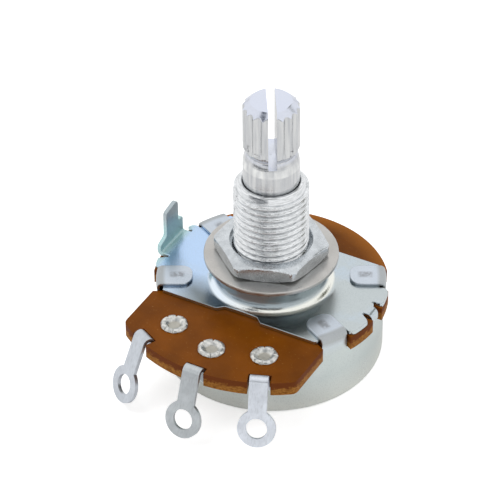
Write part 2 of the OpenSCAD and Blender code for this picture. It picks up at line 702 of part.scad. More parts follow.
// Spring contact: a washer-like seat with paired arms that press on the track and on the conductor ring.
module wiper() color("goldenrod") {
    seat_mid = rotor_top + wiper_t / 2;
    touch = wafer_under - film_t - film_clear - wiper_t / 2;
    arm_w = 0.55;
    arm_path = [[-wiper_arm - wiper_root, seat_mid], [-wiper_arm, seat_mid], [0, touch + contact_rise], [0.8, touch - 0.5]];
    difference() {
        translate([0, 0, rotor_top]) linear_extrude(wiper_t) {
            difference() {
                circle(pickup_r + 0.4);
                circle(hub_r + face_gap);
            }
            translate([-wiper_arm - wiper_root - 0.2, hub_r + 0.75])
                square([wiper_root + 0.2, track_r - hub_r - 0.05]);
        }
        for (place = stakes) translate([place[0], place[1], rotor_top - eps])
            cylinder(r = stake_r + face_gap, h = 1, $fn = 32);
        translate([-wiper_arm, hub_r + 0.75, rotor_top - eps]) cube([wiper_arm + 1, 3, 1]);
    }
    for (y = [track_r - 0.4, track_r + 0.4, pickup_r - 0.4, pickup_r + 0.4])
        translate([0, y, 0]) upright(arm_w) bent_profile(arm_path, 0.4, wiper_t);
}

module retaining_ring() color("dimgray") translate([0, 0, clip_top - clip_t]) linear_extrude(clip_t) difference() {
    circle(d = clip_d);
    circle(groove_r + face_gap);
    rotate(60) translate([0, -1.9]) square([clip_d, 3.8]);
}

module thrust_washer() color("darkgray") translate([0, 0, collar_z - thrust_washer_t])
    linear_extrude(thrust_washer_t) difference() {
        circle(collar_d / 2 - 0.4);
        circle(bore_r + 0.1);
    }

shaft();
bushing();
mounting_plate();
hex_nut();
flat_washer();
rear_can();
wafer();
resistive_track();
track_end_left();
track_end_right();
conductor_ring();
terminal_left();
terminal_centre();
terminal_right();
eyelet_left();
eyelet_centre();
eyelet_right();
rotor();
wiper();
retaining_ring();
thrust_washer();
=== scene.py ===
"""A rotary potentiometer with a split knurled shaft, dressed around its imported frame.

Turned and threaded pieces are surfaces worked out here. The sheet pieces and the wafer are the frame's
own shapes, with the edges of the plate and the can rounded. Sizes are in millimetres until a mesh is
written, in the frame's own axes.
"""
import math
from functools import reduce

import bmesh
import bpy
import numpy as np
from mathutils import Matrix, Vector


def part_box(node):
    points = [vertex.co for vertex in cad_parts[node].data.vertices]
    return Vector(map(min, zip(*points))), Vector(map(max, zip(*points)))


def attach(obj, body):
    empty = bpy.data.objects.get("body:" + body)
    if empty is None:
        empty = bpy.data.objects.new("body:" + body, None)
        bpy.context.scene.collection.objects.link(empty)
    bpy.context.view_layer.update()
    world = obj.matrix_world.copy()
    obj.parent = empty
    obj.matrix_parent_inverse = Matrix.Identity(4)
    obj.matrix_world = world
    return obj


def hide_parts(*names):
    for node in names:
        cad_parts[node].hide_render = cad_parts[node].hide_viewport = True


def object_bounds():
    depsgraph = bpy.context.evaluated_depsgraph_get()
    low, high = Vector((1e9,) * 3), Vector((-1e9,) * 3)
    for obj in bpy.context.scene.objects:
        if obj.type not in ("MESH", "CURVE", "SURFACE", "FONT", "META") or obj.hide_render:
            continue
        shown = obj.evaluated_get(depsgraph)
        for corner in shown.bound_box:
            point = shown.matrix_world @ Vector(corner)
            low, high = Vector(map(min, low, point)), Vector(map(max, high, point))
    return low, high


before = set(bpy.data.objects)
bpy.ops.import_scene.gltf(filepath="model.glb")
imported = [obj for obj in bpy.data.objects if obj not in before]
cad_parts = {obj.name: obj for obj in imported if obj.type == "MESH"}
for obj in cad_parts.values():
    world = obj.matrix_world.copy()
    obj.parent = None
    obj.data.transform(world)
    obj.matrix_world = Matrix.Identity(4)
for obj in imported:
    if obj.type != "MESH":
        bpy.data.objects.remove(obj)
CAD_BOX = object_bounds()

MM = 0.001
TURN = 2 * math.pi


# Sizes of the pieces

SHAFT_R = 3.0
SHAFT_TIP = 20.0
TIP_FLAT_R = 2.14
TIP_CHAMFER = 0.8
KNURL_FROM = 14.5
NECK_R = 2.6
NECK_Z = (13.65, 13.75)
SHOULDER_FROM = 12.1
SLOT_FLOOR = 13.1
SLOT_HALF = 0.45
SLOT_TURN = math.radians(31.6 - 90)
FLUTES = 18
FLUTE_DEPTH = 0.24
FLUTE_SHARE = 0.86                    # part of the knurl's pitch that a hollow takes
FLUTES_FROM = 13.95
JOURNAL_R = 2.98
JOURNAL_FROM = -2.95
RING_GROOVE_R = 2.4                   # the retaining ring's groove
RING_GROOVE_Z = (-2.57, -2.03)
WAIST_R = 2.4                         # between the journal and the rotor
SPIGOT_R = 2.0                        # the end that carries the rotor
SPIGOT_TO = -8.1
STAKED_R = (2.5, 2.7)                 # the staked head under the rotor, at its bottom and its top
STAKED_HEIGHT = 0.4
BUSHING_TOP = 10.0
BORE_R = 3.03
THREAD_R = 4.0
THREAD_PITCH = 0.75
THREAD_DEPTH = 0.33
THREAD_FROM = 0.2
THREAD_TO = 9.25
COLLAR_R = 5.0
COLLAR_Z = (-1.7, -0.5)
NUT_FLATS = 10.8
NUT_Z = (0.5, 2.2)
NUT_EDGE = 0.38                       # height of the nut's outer chamfers
NUT_HOLE_R = 4.02
NUT_HOLE_CHAMFER = 0.42
NUT_TURN = math.radians(21)
WASHER_R = (4.2, 7.15)
WASHER_Z = (0.0, 0.5)
WAFER_TOP = -3.5
LUG_X = (-11.2, -12.0)                # from the plate's ear to the face of its locating lug
TAB_ANGLE = math.radians(28.5)
TAB_MARK_R = 10.0                     # where the punch has rubbed the can's tabs
EYELET_PLACES = {"left": (-5.36, -11.4), "centre": (0.0, -13.0), "right": (5.36, -11.4)}
EYELET_UNDER = -5.95
PETALS = 8


# Meshes

DOUBLE_POINT = 1e-7                   # in metres: points as near as this are one
FRAME_DOUBLE_POINT = 4e-6             # the same in the frame's own meshes
LEVEL_WITHIN = math.radians(0.1)      # faces that meet as flat as this are one
SURFACE_CREASE = math.radians(35)     # edges sharper than this show as edges
SHEET_CREASE = math.radians(30)
BEVEL_SEGMENTS = 2


def placed(name, data):
    """A new object for a mesh, lamp or camera, in the scene."""
    holder = bpy.data.objects.new(name, data)
    bpy.context.scene.collection.objects.link(holder)
    return holder


def grid_faces(rows, columns, close_rows, close_columns):
    """The quads of a grid of points numbered row by row; it wraps round along an index that closes."""
    i, j = np.meshgrid(np.arange(rows if close_rows else rows - 1),
                       np.arange(columns if close_columns else columns - 1), indexing="ij")
    up, right = (i + 1) % rows, (j + 1) % columns
    quads = [i * columns + j, i * columns + right, up * columns + right, up * columns + j]
    return np.stack(quads, -1).reshape(-1, 4).tolist()


def grid_mesh(name, points, closed=True):
    """A surface over a grid of points, where points[i, j] joins its neighbours along both indices. Closed,
    both indices wrap round."""
    faces = grid_faces(*points.shape[:2], closed, closed)
    return make_mesh(name, points.reshape(-1, 3), faces)


def stacked(name, outlines):
    """A closed solid whose sides join a stack of closed outlines, capped flat at both ends."""
    rows, columns = outlines.shape[:2]
    faces = grid_faces(rows, columns, False, True)
    faces.append(list(range(columns))[::-1])
    faces.append([(rows - 1) * columns + k for k in range(columns)])
    return make_mesh(name, outlines.reshape(-1, 3), faces)


def make_mesh(name, points, faces):
    """Writes points in millimetres as a mesh in metres, smooth except across its creases."""
    mesh = bpy.data.meshes.new(name)
    mesh.from_pydata((np.asarray(points, float) * MM).tolist(), [], faces)
    work = bmesh.new()
    work.from_mesh(mesh)
    bmesh.ops.remove_doubles(work, verts=work.verts, dist=DOUBLE_POINT)
    bmesh.ops.dissolve_degenerate(work, edges=work.edges, dist=DOUBLE_POINT)
    bmesh.ops.recalc_face_normals(work, faces=work.faces)
    work.to_mesh(mesh)
    work.free()
    mesh.shade_smooth()
    mesh.set_sharp_from_angle(angle=SURFACE_CREASE)
    return placed(name, mesh)


def edged(name, node, width, clamp):
    """The frame's own shape for a node, merged into clean faces, with its sharp edges rounded to width. A
    clamped rounding shrinks to what the shortest edge leaves room for, which is almost nothing on the
    wafer and the terminals."""
    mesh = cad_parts[node].data.copy()
    mesh.materials.clear()
    work = bmesh.new()
    work.from_mesh(mesh)
    bmesh.ops.remove_doubles(work, verts=work.verts, dist=FRAME_DOUBLE_POINT)
    bmesh.ops.dissolve_limit(work, angle_limit=LEVEL_WITHIN, verts=work.verts, edges=work.edges)
    work.to_mesh(mesh)
    work.free()
    mesh.name = name
    mesh.shade_smooth()
    mesh.set_sharp_from_angle(angle=SHEET_CREASE)
    piece = placed(name, mesh)
    bevel = piece.modifiers.new("rounded edges", "BEVEL")
    bevel.width = width * MM
    bevel.segments = BEVEL_SEGMENTS
    bevel.limit_method = "ANGLE"
    bevel.angle_limit = SHEET_CREASE
    bevel.use_clamp_overlap = clamp
    bevel.loop_slide = False
    bevel.harden_normals = True
    return piece


def rounded(profile, radius, steps=3):
    """A closed profile whose corners are arcs: each corner gives way to points on a quadratic curve that
    leaves and meets its two sides at the radius, or at 0.4 of the shorter side."""
    profile = np.asarray(profile, float)
    before, after = np.roll(profile, 1, 0) - profile, np.roll(profile, -1, 0) - profile
    shorter = np.minimum(np.linalg.norm(before, axis=1), np.linalg.norm(after, axis=1))
    reach = np.minimum(radius, 0.4 * shorter)[:, None]
    unit = lambda v: v / np.maximum(np.linalg.norm(v, axis=1, keepdims=True), 1e-9)
    start, end = profile + unit(before) * reach, profile + unit(after) * reach
    t = np.linspace(0, 1, steps + 1)[None, :, None]
    curve = ((1 - t) ** 2 * start[:, None] + 2 * t * (1 - t) * profile[:, None]
             + t ** 2 * end[:, None])
    return curve.reshape(-1, 2)


def soft_min(a, b, k):
    """The smaller of a and b, with the corner between them rounded over about k."""
    h = np.clip(0.5 + 0.5 * (b - a) / k, 0, 1)
    return b * (1 - h) + a * h - k * h * (1 - h)


def bearings(columns):
    """The bearings of evenly spaced columns round an axis."""
    return np.arange(columns) / columns * TURN


def around(r, z, angle, place=(0, 0)):
    """Points at radius r and height z on each bearing about an upright axis at place. A row of r or z
    that has one value keeps it all the way round."""
    r, z = (np.broadcast_to(row, (len(row), len(angle))) for row in (r, z))
    return np.stack([place[0] + r * np.cos(angle), place[1] + r * np.sin(angle), z], -1)


def turned(name, profile, columns=128):
    """A turned piece: the closed profile of (r, z) points goes round the Z axis."""
    r, z = np.asarray(profile, float).T[:, :, None]
    return grid_mesh(name, around(r, z, bearings(columns)))


# Turned and threaded pieces

def bushing_piece():
    """A sleeve whose outside is a helical thread: the radius drops from the crest by a rounded V wave of
    height z over the pitch less one part per turn, and the wave fades out at both ends."""
    angle = bearings(180)
    per_turn = 15
    z_thread = np.arange(THREAD_FROM, THREAD_TO, THREAD_PITCH / per_turn)
    phase = (z_thread[:, None] / THREAD_PITCH - angle / TURN) % 1
    wave = np.clip(1.1 * (1 - np.abs(2 * phase - 1)), 0, 1) ** 1.6
    fade_in = np.clip((z_thread - THREAD_FROM) / 0.5, 0, 1)
    fade_out = np.clip((THREAD_TO - z_thread) / 0.35 + 0.25, 0, 1)
    r_thread = THREAD_R - THREAD_DEPTH * wave * (fade_in * fade_out)[:, None]
    mouth = [(THREAD_R - 0.3, THREAD_TO + 0.02), (THREAD_R - 0.53, BUSHING_TOP - 0.1),
             (THREAD_R - 0.62, BUSHING_TOP), (BORE_R + 0.1, BUSHING_TOP), (BORE_R, BUSHING_TOP - 0.1)]
    collar = [(BORE_R, COLLAR_Z[0]), (COLLAR_R, COLLAR_Z[0]), (COLLAR_R, COLLAR_Z[1]),
              (THREAD_R, COLLAR_Z[1]), (THREAD_R, 0.1)]
    rest = rounded(mouth + collar, 0.05)
    r = np.vstack([r_thread, np.repeat(rest[:, :1], len(angle), 1)])
    z = np.concatenate([z_thread, rest[:, 1]])[:, None]
    return grid_mesh("bushing_threaded", around(r, z, angle))


def nut_piece():
    """A hexagon of the given width across flats, cut back by a cone above and below: at each height the
    outline is the smaller of the hexagon and the cone's circle, with the corner between them rounded."""
    angle = bearings(360)
    low, high = NUT_Z
    tall = high - low
    z = np.concatenate([np.linspace(0, NUT_EDGE, 9),
                        np.linspace(NUT_EDGE, tall - NUT_EDGE, 5)[1:-1],
                        np.linspace(tall - NUT_EDGE, tall, 9)])
    corner = TURN / 6
    across = (angle - NUT_TURN) % corner - corner / 2
    hexagon = NUT_FLATS / 2 / np.cos(across)
    corner_r = NUT_FLATS / math.sqrt(3) - 0.1
    depth = np.minimum(z, tall - z)
    cone = corner_r - np.clip(1 - depth / NUT_EDGE, 0, 1) * (corner_r - NUT_FLATS / 2 + 0.12)
    r = soft_min(hexagon[None, :], cone[:, None], 0.06)
    r = soft_min(r, np.full_like(r, corner_r), 0.1)
    wide = NUT_HOLE_R + NUT_HOLE_CHAMFER
    hole = np.array([(wide, high), (NUT_HOLE_R, high - NUT_HOLE_CHAMFER),
                     (NUT_HOLE_R, low + NUT_HOLE_CHAMFER), (wide, low)])
    r = np.vstack([r, np.repeat(hole[:, :1], len(angle), 1)])
    z = np.concatenate([z + low, hole[:, 1]])[:, None]
    return grid_mesh("hex_nut_chamfered", around(r, z, angle))


def flute(angle):
    """Depth of the knurl at an angle: a hollow that is a parabola across, between narrow crests, counted
    from the slot so that the slot lies between two hollows."""
    across = np.abs(((angle - SLOT_TURN) / TURN * FLUTES) % 1 - 0.5) * 2
    return FLUTE_DEPTH * np.clip(1 - (across / FLUTE_SHARE) ** 2, 0, 1)


def shoulder_r(z):
    """Radius of the shoulder under the neck: an ellipse that leaves the shaft upright and ends at the
    neck after 60 degrees of its turn, where its cosine is 0.5."""
    sine = np.clip((z - SHOULDER_FROM) / (NECK_Z[0] - SHOULDER_FROM), 0, 1) * math.sin(math.pi / 3)
    return NECK_R + (SHAFT_R - NECK_R) * (np.sqrt(1 - sine ** 2) - 0.5) / 0.5


def shaft_pieces():
    """The shaft below the slot's floor is turned. Each half of the head is a stack of D outlines: an arc
    cut off by the slot's wall, whose radius is the smaller of the fluted knurl and the turned profile."""
    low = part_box("shaft")[0].z / MM
    rise = np.linspace(SHOULDER_FROM, SLOT_FLOOR, 6)
    body = rounded([
        (0, low), (STAKED_R[0], low), (STAKED_R[1], low + STAKED_HEIGHT), (SPIGOT_R, low + STAKED_HEIGHT),
        (SPIGOT_R, SPIGOT_TO), (WAIST_R, SPIGOT_TO), (WAIST_R, JOURNAL_FROM), (JOURNAL_R, JOURNAL_FROM),
        (JOURNAL_R, RING_GROOVE_Z[0]), (RING_GROOVE_R, RING_GROOVE_Z[0]),
        (RING_GROOVE_R, RING_GROOVE_Z[1]), (JOURNAL_R, RING_GROOVE_Z[1]),
        (JOURNAL_R, BUSHING_TOP + 0.1), (SHAFT_R, BUSHING_TOP + 0.12),
        *zip(shoulder_r(rise), rise), (0, SLOT_FLOOR)], 0.04)
    body[:, 0] = np.maximum(body[:, 0], 0)
    pieces = [turned("shaft_turned", body)]
    knurl_full, cone_from = KNURL_FROM + 0.1, SHAFT_TIP - TIP_CHAMFER - 0.1
    z = np.unique(np.round(np.concatenate([
        np.linspace(SLOT_FLOOR - 0.01, NECK_Z[0], 9), np.linspace(*NECK_Z, 3),
        np.linspace(NECK_Z[1], knurl_full, 16), np.linspace(knurl_full, cone_from, 12),
        np.linspace(cone_from, SHAFT_TIP - 0.06, 16), [SHAFT_TIP - 0.02, SHAFT_TIP]]), 4))
    turned_r = np.interp(z, [NECK_Z[1], KNURL_FROM, SHAFT_TIP - TIP_CHAMFER, SHAFT_TIP - 0.03, SHAFT_TIP],
                         [NECK_R, SHAFT_R, SHAFT_R, TIP_FLAT_R + 0.03, TIP_FLAT_R - 0.03])
    turned_r = np.where(z < NECK_Z[1], shoulder_r(z), turned_r)
    arc_points = 240
    for side, name in ((0, "shaft_head_near"), (math.pi, "shaft_head_far")):
        middle = SLOT_TURN + math.pi / 2 + side
        reach = np.arccos(SLOT_HALF / turned_r)
        across = np.linspace(-1, 1, arc_points)[None, :] * reach[:, None]
        knurl = SHAFT_R - flute(across + middle) * np.clip((z - FLUTES_FROM) / 1.0, 0, 1)[:, None]
        r = soft_min(knurl, turned_r[:, None], 0.04)
        x = np.maximum(r * np.cos(across), SLOT_HALF)
        y = r * np.sin(across)
        x[:, [0, -1]] = SLOT_HALF
        points = np.stack([x * math.cos(middle) - y * math.sin(middle),
                           x * math.sin(middle) + y * math.cos(middle),
                           np.repeat(z[:, None], arc_points, 1)], -1)
        pieces.append(stacked(name, points))
    return pieces


def eyelet_piece(name, place, seed):
    """A rivet seen as turned, whose flared rim is split into petals: the rim's height and reach drop
    in narrow notches at uneven angles, deeper towards the outside."""
    rng = np.random.default_rng(seed)
    angle = bearings(192)
    cracks = (np.arange(PETALS) + 0.5 + rng.uniform(-0.12, 0.12, PETALS)) / PETALS * TURN
    gap = np.abs((angle[:, None] - cracks + math.pi) % TURN - math.pi).min(1)
    crack = np.exp(-(gap / 0.055) ** 2)
    lift = 0.03 * np.sin(PETALS * angle / 2 + rng.uniform(0, TURN))
    under, top = EYELET_UNDER, WAFER_TOP
    profile = rounded([(0.0, under), (1.2, under), (1.48, under + 0.2), (1.48, -5.55), (1.0, -5.55),
                       (1.0, top), (1.42, top), (1.5, top + 0.1), (1.34, top + 0.3),
                       (1.08, top + 0.36), (0.84, top + 0.24), (0.62, top + 0.02),
                       (0.56, top - 0.06), (0.0, top - 0.06)], 0.06, 4)
    profile[:, 0] = np.maximum(profile[:, 0], 0)
    r, z = np.repeat(profile.T[:, :, None], len(angle), 2)
    rim = (z > top + 0.01) & (r > 0.75)
    outer = np.clip((r - 0.85) / 0.5, 0, 1)
    z = np.where(rim, z + lift - 0.14 * crack * outer, z)
    sides = 1 - 0.035 * (1 - np.cos(6 * angle + rng.uniform(0, TURN))) / 2
    r = np.where(rim & (r > 1.2), r * sides * (1 - 0.05 * crack), r)
    return grid_mesh(name, around(r, z, angle, place))


# Materials

GRAIN_MM = 0.12                       # grain of plated sheet
GRAIN_GREY = "#6E7072"
ROUGHNESS_SPAN = 0.1


def linear(hex_colour):
    """A colour written as sRGB hex, as the linear values that the shaders take."""
    srgb = [int(hex_colour[k:k + 2], 16) / 255 for k in (1, 3, 5)]
    return [c / 12.92 if c <= 0.04045 else ((c + 0.055) / 1.055) ** 2.4 for c in srgb] + [1.0]


def mm(*sizes):
    """Sizes in millimetres, as metres."""
    return [size * MM for size in sizes]


def add(tree, kind, inputs=(), out=0, **settings):
    """Adds one node with its settings and gives one of its outputs. Its inputs come in order, or by name
    or number: another node's output is linked, and a colour in hex is made linear."""
    made = tree.nodes.new("ShaderNode" + kind)
    for name, value in settings.items():
        setattr(made, name, value)
    for name, value in inputs.items() if isinstance(inputs, dict) else enumerate(inputs):
        if isinstance(value, bpy.types.NodeSocket):
            tree.links.new(value, made.inputs[name])
        else:
            made.inputs[name].default_value = linear(value) if isinstance(value, str) else value
    return made.outputs[out] if len(made.outputs) else None


def empty_tree(holder):
    """Turns on the nodes of a material or a world, and takes out those that it starts with."""
    holder.use_nodes = True
    holder.node_tree.nodes.clear()
    return holder.node_tree


def started(name):
    """A new material, its empty tree, and a point on the object in metres."""
    material = bpy.data.materials.new(name)
    tree = empty_tree(material)
    return material, tree, add(tree, "TexCoord", out="Object")


def finished(material, colour, roughness, metallic, relief, depth_mm, others=()):
    """Gives a material its surface, with a relief whose full range is depth_mm deep."""
    tree = material.node_tree
    normal = add(tree, "Bump", {"Height": relief, "Distance": depth_mm * MM, "Strength": 1.0})
    surface = add(tree, "BsdfPrincipled", {"Base Color": colour, "Roughness": roughness,
                                           "Metallic": metallic, "Normal": normal, **dict(others)})
    add(tree, "OutputMaterial", {"Surface": surface})
    return material


def coated(tree, colour, *coats):
    """A colour under coats of other colours, each laid on with a share from 0 to 1."""
    for share, coat in coats:
        colour = add(tree, "Mix", {0: share, 6: colour, 7: coat}, 2, data_type="RGBA")
    return colour


def mask(tree, *limits):
    """The product of several shares. Each limit holds a value, where its share is 0 and where it is 1,
    and the two shares themselves where they are others."""
    shares = [add(tree, "MapRange", limit) for limit in limits]
    return reduce(lambda a, b: add(tree, "Math", [a, b], operation="MULTIPLY"), shares)


def noise(tree, point, size_mm, detail=3, stretch=(1, 1, 1), roughness=0.5):
    """Noise whose patches are about size_mm across, drawn out along an axis by a stretch above 1."""
    scale = [1 / (size_mm * MM * s) for s in stretch]
    scaled = add(tree, "Mapping", {"Vector": point, "Scale": scale}, vector_type="POINT")
    return add(tree, "TexNoise", {"Vector": scaled, "Scale": 1.0, "Detail": detail,
                                  "Roughness": roughness}, "Fac")


def clouds(tree, point, *pattern):
    """Noise of that pattern, from 0 to 1."""
    return add(tree, "MapRange", [noise(tree, point, *pattern), 0.3, 0.7])


def axis_distance(tree, point):
    """Distance of a point from the shaft's axis, in metres."""
    flat = add(tree, "Mapping", {"Vector": point, "Scale": (1, 1, 0)}, vector_type="POINT")
    return add(tree, "VectorMath", [flat], "Value", operation="LENGTH")


def flatness(tree):
    """How level a surface lies: 1 on a horizontal face and 0 on an upright one."""
    normal = add(tree, "NewGeometry", out="Normal")
    up = add(tree, "Math", [add(tree, "SeparateXYZ", [normal], "Z")], operation="ABSOLUTE")
    return add(tree, "MapRange", [up, 0.35, 0.8])


def plated_metal(name, dark, light, roughness, patch_mm, grain_mm, grain_depth, freckle):
    """Metal under a thin plating: cloudy patches of two near colours, dark freckles of the size of the
    grain, and the same grain in the relief."""
    material, tree, point = started(name)
    grain = noise(tree, point, grain_mm, 2)
    colour = coated(tree, dark, (clouds(tree, point, patch_mm, 4, (1, 1, 1), 0.6), light),
                    (add(tree, "MapRange", [grain, 0.52, 0.75, 0, freckle]), GRAIN_GREY))
    rough = add(tree, "MapRange", [noise(tree, point, patch_mm / 3), 0.3, 0.7,
                                   roughness - ROUGHNESS_SPAN / 2, roughness + ROUGHNESS_SPAN / 2])
    return finished(material, colour, rough, 1.0, grain, grain_depth)


def can_metal():
    """Drawn steel can, zinc plated: soft grey-green sheen, painted paler low on the wall as light from the
    floor, fine grain, greyer along the tabs' bends, and on each tab a small grey patch where the crimping
    punch has rubbed it."""
    material, tree, point = started("zinc_plated_steel_drawn")
    z, r = add(tree, "SeparateXYZ", [point], "Z"), axis_distance(tree, point)
    cloud = clouds(tree, point, 4.0, 3, (1, 1, 1.5), 0.5)
    grain = noise(tree, point, GRAIN_MM, 2)
    folded = add(tree, "VectorMath", [point], operation="ABSOLUTE")
    mark = add(tree, "Mapping", {"Vector": folded, "Rotation": (0, 0, -TAB_ANGLE),
                                 "Location": mm(-TAB_MARK_R, 0, 0)}, vector_type="POINT")
    along, across = (add(tree, "Math", [add(tree, "SeparateXYZ", [mark], axis)], operation="ABSOLUTE")
                     for axis in "XY")
    rubbed = mask(tree, (along, *mm(0.9, 0.55)), (across, *mm(0.6, 0.25)), (z, *mm(-2.75, -2.6)),
                  (noise(tree, point, 0.35, 4), 0.36, 0.52, 0.3, 1.0))
    bend = mask(tree, (r, *mm(11.2, 11.6)), (z, *mm(-4.0, -3.3), 0, 0.55))
    colour = coated(tree, coated(tree, "#C6CFCE", (cloud, "#CDD5D3")),
                    (add(tree, "MapRange", [z, *mm(-5.2, -2.7)]),
                     coated(tree, "#C3CCD6", (cloud, "#D2DAE4"))),
                    (bend, "#96968F"),
                    # painted light: the lower wall is painted paler, as if lit by the floor
                    (add(tree, "MapRange", [z, *mm(-8.0, -11.0), 0, 0.6]), "#EDEDE6"),
                    (add(tree, "MapRange", [grain, 0.52, 0.75, 0, 0.24]), "#77797A"),
                    (rubbed, "#85868A"))
    rough = add(tree, "MapRange", [cloud, 0, 1, 0.26, 0.34])
    return finished(material, colour, rough, 1.0, grain, 0.004)


def laminate():
    """Phenolic paper laminate, pressed and punched: clear orange-brown resin, semi-gloss on top with
    pale specks of paper, a painted golden sheen towards the far rim, and a punched edge whose lower half
    has torn rough and golden."""
    material, tree, point = started("phenolic_paper_laminate_punched")
    y, z = (add(tree, "SeparateXYZ", [point], axis) for axis in "YZ")
    speck = add(tree, "MapRange", [noise(tree, point, 0.22), 0.66, 0.76, 0, 0.4])
    # painted sheen: the top is painted lighter and golden towards the far rim
    rim = mask(tree, (axis_distance(tree, point), *mm(10.6, 12.4), 0, 0.75), (y, *mm(0.0, 4.0)))
    face = coated(tree, "#623301", (clouds(tree, point, 4.0), "#7A4204"), (speck, "#B98A55"),
                  (rim, "#A2621E"))
    torn = noise(tree, point, 0.3, 4, (2, 2, 1), 0.7)
    uneven = add(tree, "MapRange", [torn, 0.3, 0.7, *mm(-0.35, 0.35)])
    depth = add(tree, "Math", [z, uneven], operation="ADD")
    fibres = add(tree, "MapRange", [noise(tree, point, 0.14, 4, (2, 2, 1), 0.7), 0.35, 0.65])
    edge = coated(tree, "#66320A", (add(tree, "MapRange", [depth, *mm(-4.15, -4.35)]),
                                    coated(tree, "#6E3F0E", (fibres, "#A87232"))))
    level = flatness(tree)
    rough = add(tree, "MapRange", [level, 0, 1, 0.6, 0.36])
    return finished(material, coated(tree, edge, (level, face)), rough, 0.0, torn, 0.01,
                    {"IOR": 1.5, "Specular IOR Level": 0.1})


def turned_aluminium():
    """Turned aluminium with a pressed knurl: pale and faintly blue, softly brushed round the axis, painted
    paler and bluer on level faces as a reflection of the bright room, a painted highlight on the shoulder,
    and dark nicks where the knurling wheel stopped."""
    material, tree, point = started("aluminium_turned_and_knurled")
    z = add(tree, "SeparateXYZ", [point], "Z")
    rings = noise(tree, point, 0.10, 2, (30, 30, 1))
    streaks = add(tree, "MapRange", [noise(tree, point, 0.35, 3, (1, 1, 14)), 0.35, 0.65])
    # painted highlight: the shoulder is painted nearly white where the lamps catch it
    painted_shoulder_highlight = mask(tree, (z, *mm(12.0, 12.15)), (z, *mm(13.2, 12.9)),
                    (noise(tree, point, 1.3, 3, (1, 1, 3)), 0.42, 0.62, 0.1, 0.75))
    nicks = mask(tree, (z, *mm(14.1, 14.5)), (z, *mm(15.7, 15.2)),
                 (noise(tree, point, 0.42, 5, (1, 1, 1.3), 0.75), 0.57, 0.63))
    scratches = add(tree, "MapRange", [noise(tree, point, 0.5, 6, (1, 1, 2), 0.8), 0.70, 0.76, 0, 0.5])
    # painted reflection: level faces are painted paler and bluer than upright ones
    colour = coated(tree, "#B9BBBE", (streaks, "#D2D3D3"), (flatness(tree), "#DCE1EF"),
                    (painted_shoulder_highlight, "#F0F1EF"),
                    (add(tree, "Math", [nicks, scratches], operation="MAXIMUM"), "#3C3D40"))
    rough = add(tree, "MapRange", [rings, 0.3, 0.7, 0.17, 0.27])
    return finished(material, colour, rough, 1.0, rings, 0.005)


def threaded_nickel():
    """Nickel-plated brass with a cut thread: bright crests torn here and there by the tool, painted shade
    dark grey down in the thread's root, and a smooth, slightly duller mouth."""
    material, tree, point = started("nickel_plated_brass_threaded")
    r, z = axis_distance(tree, point), add(tree, "SeparateXYZ", [point], "Z")
    turns = noise(tree, point, 0.16, 3, (6, 6, 0.6), 0.7)
    # painted shade: the thread's root is painted dark grey
    painted_root_shade = mask(tree, (r, *mm(3.82, 3.62)), (z, *mm(9.3, 9.1), 0, 0.5))
    torn = mask(tree, (r, *mm(3.84, 3.94)), (z, *mm(9.3, 8.9)),
                (noise(tree, point, 0.3, 5, (2.2, 2.2, 0.5), 0.75), 0.56, 0.66, 0, 0.8))
    colour = coated(tree, "#CDD0D2", (add(tree, "MapRange", [turns, 0.35, 0.65]), "#F4F6F8"),
                    (painted_root_shade, "#4C4E50"), (torn, "#2F3031"))
    mouth = add(tree, "MapRange", [z, *mm(9.1, 9.3), 0, 0.04])
    rough = add(tree, "Math", [add(tree, "MapRange", [turns, 0.3, 0.7, 0.09, 0.2]), mouth],
                operation="ADD")
    below_mouth = add(tree, "MapRange", [z, *mm(9.4, 9.15)])
    relief = add(tree, "Math", [turns, below_mouth], operation="MULTIPLY")
    return finished(material, colour, rough, 1.0, relief, 0.035)


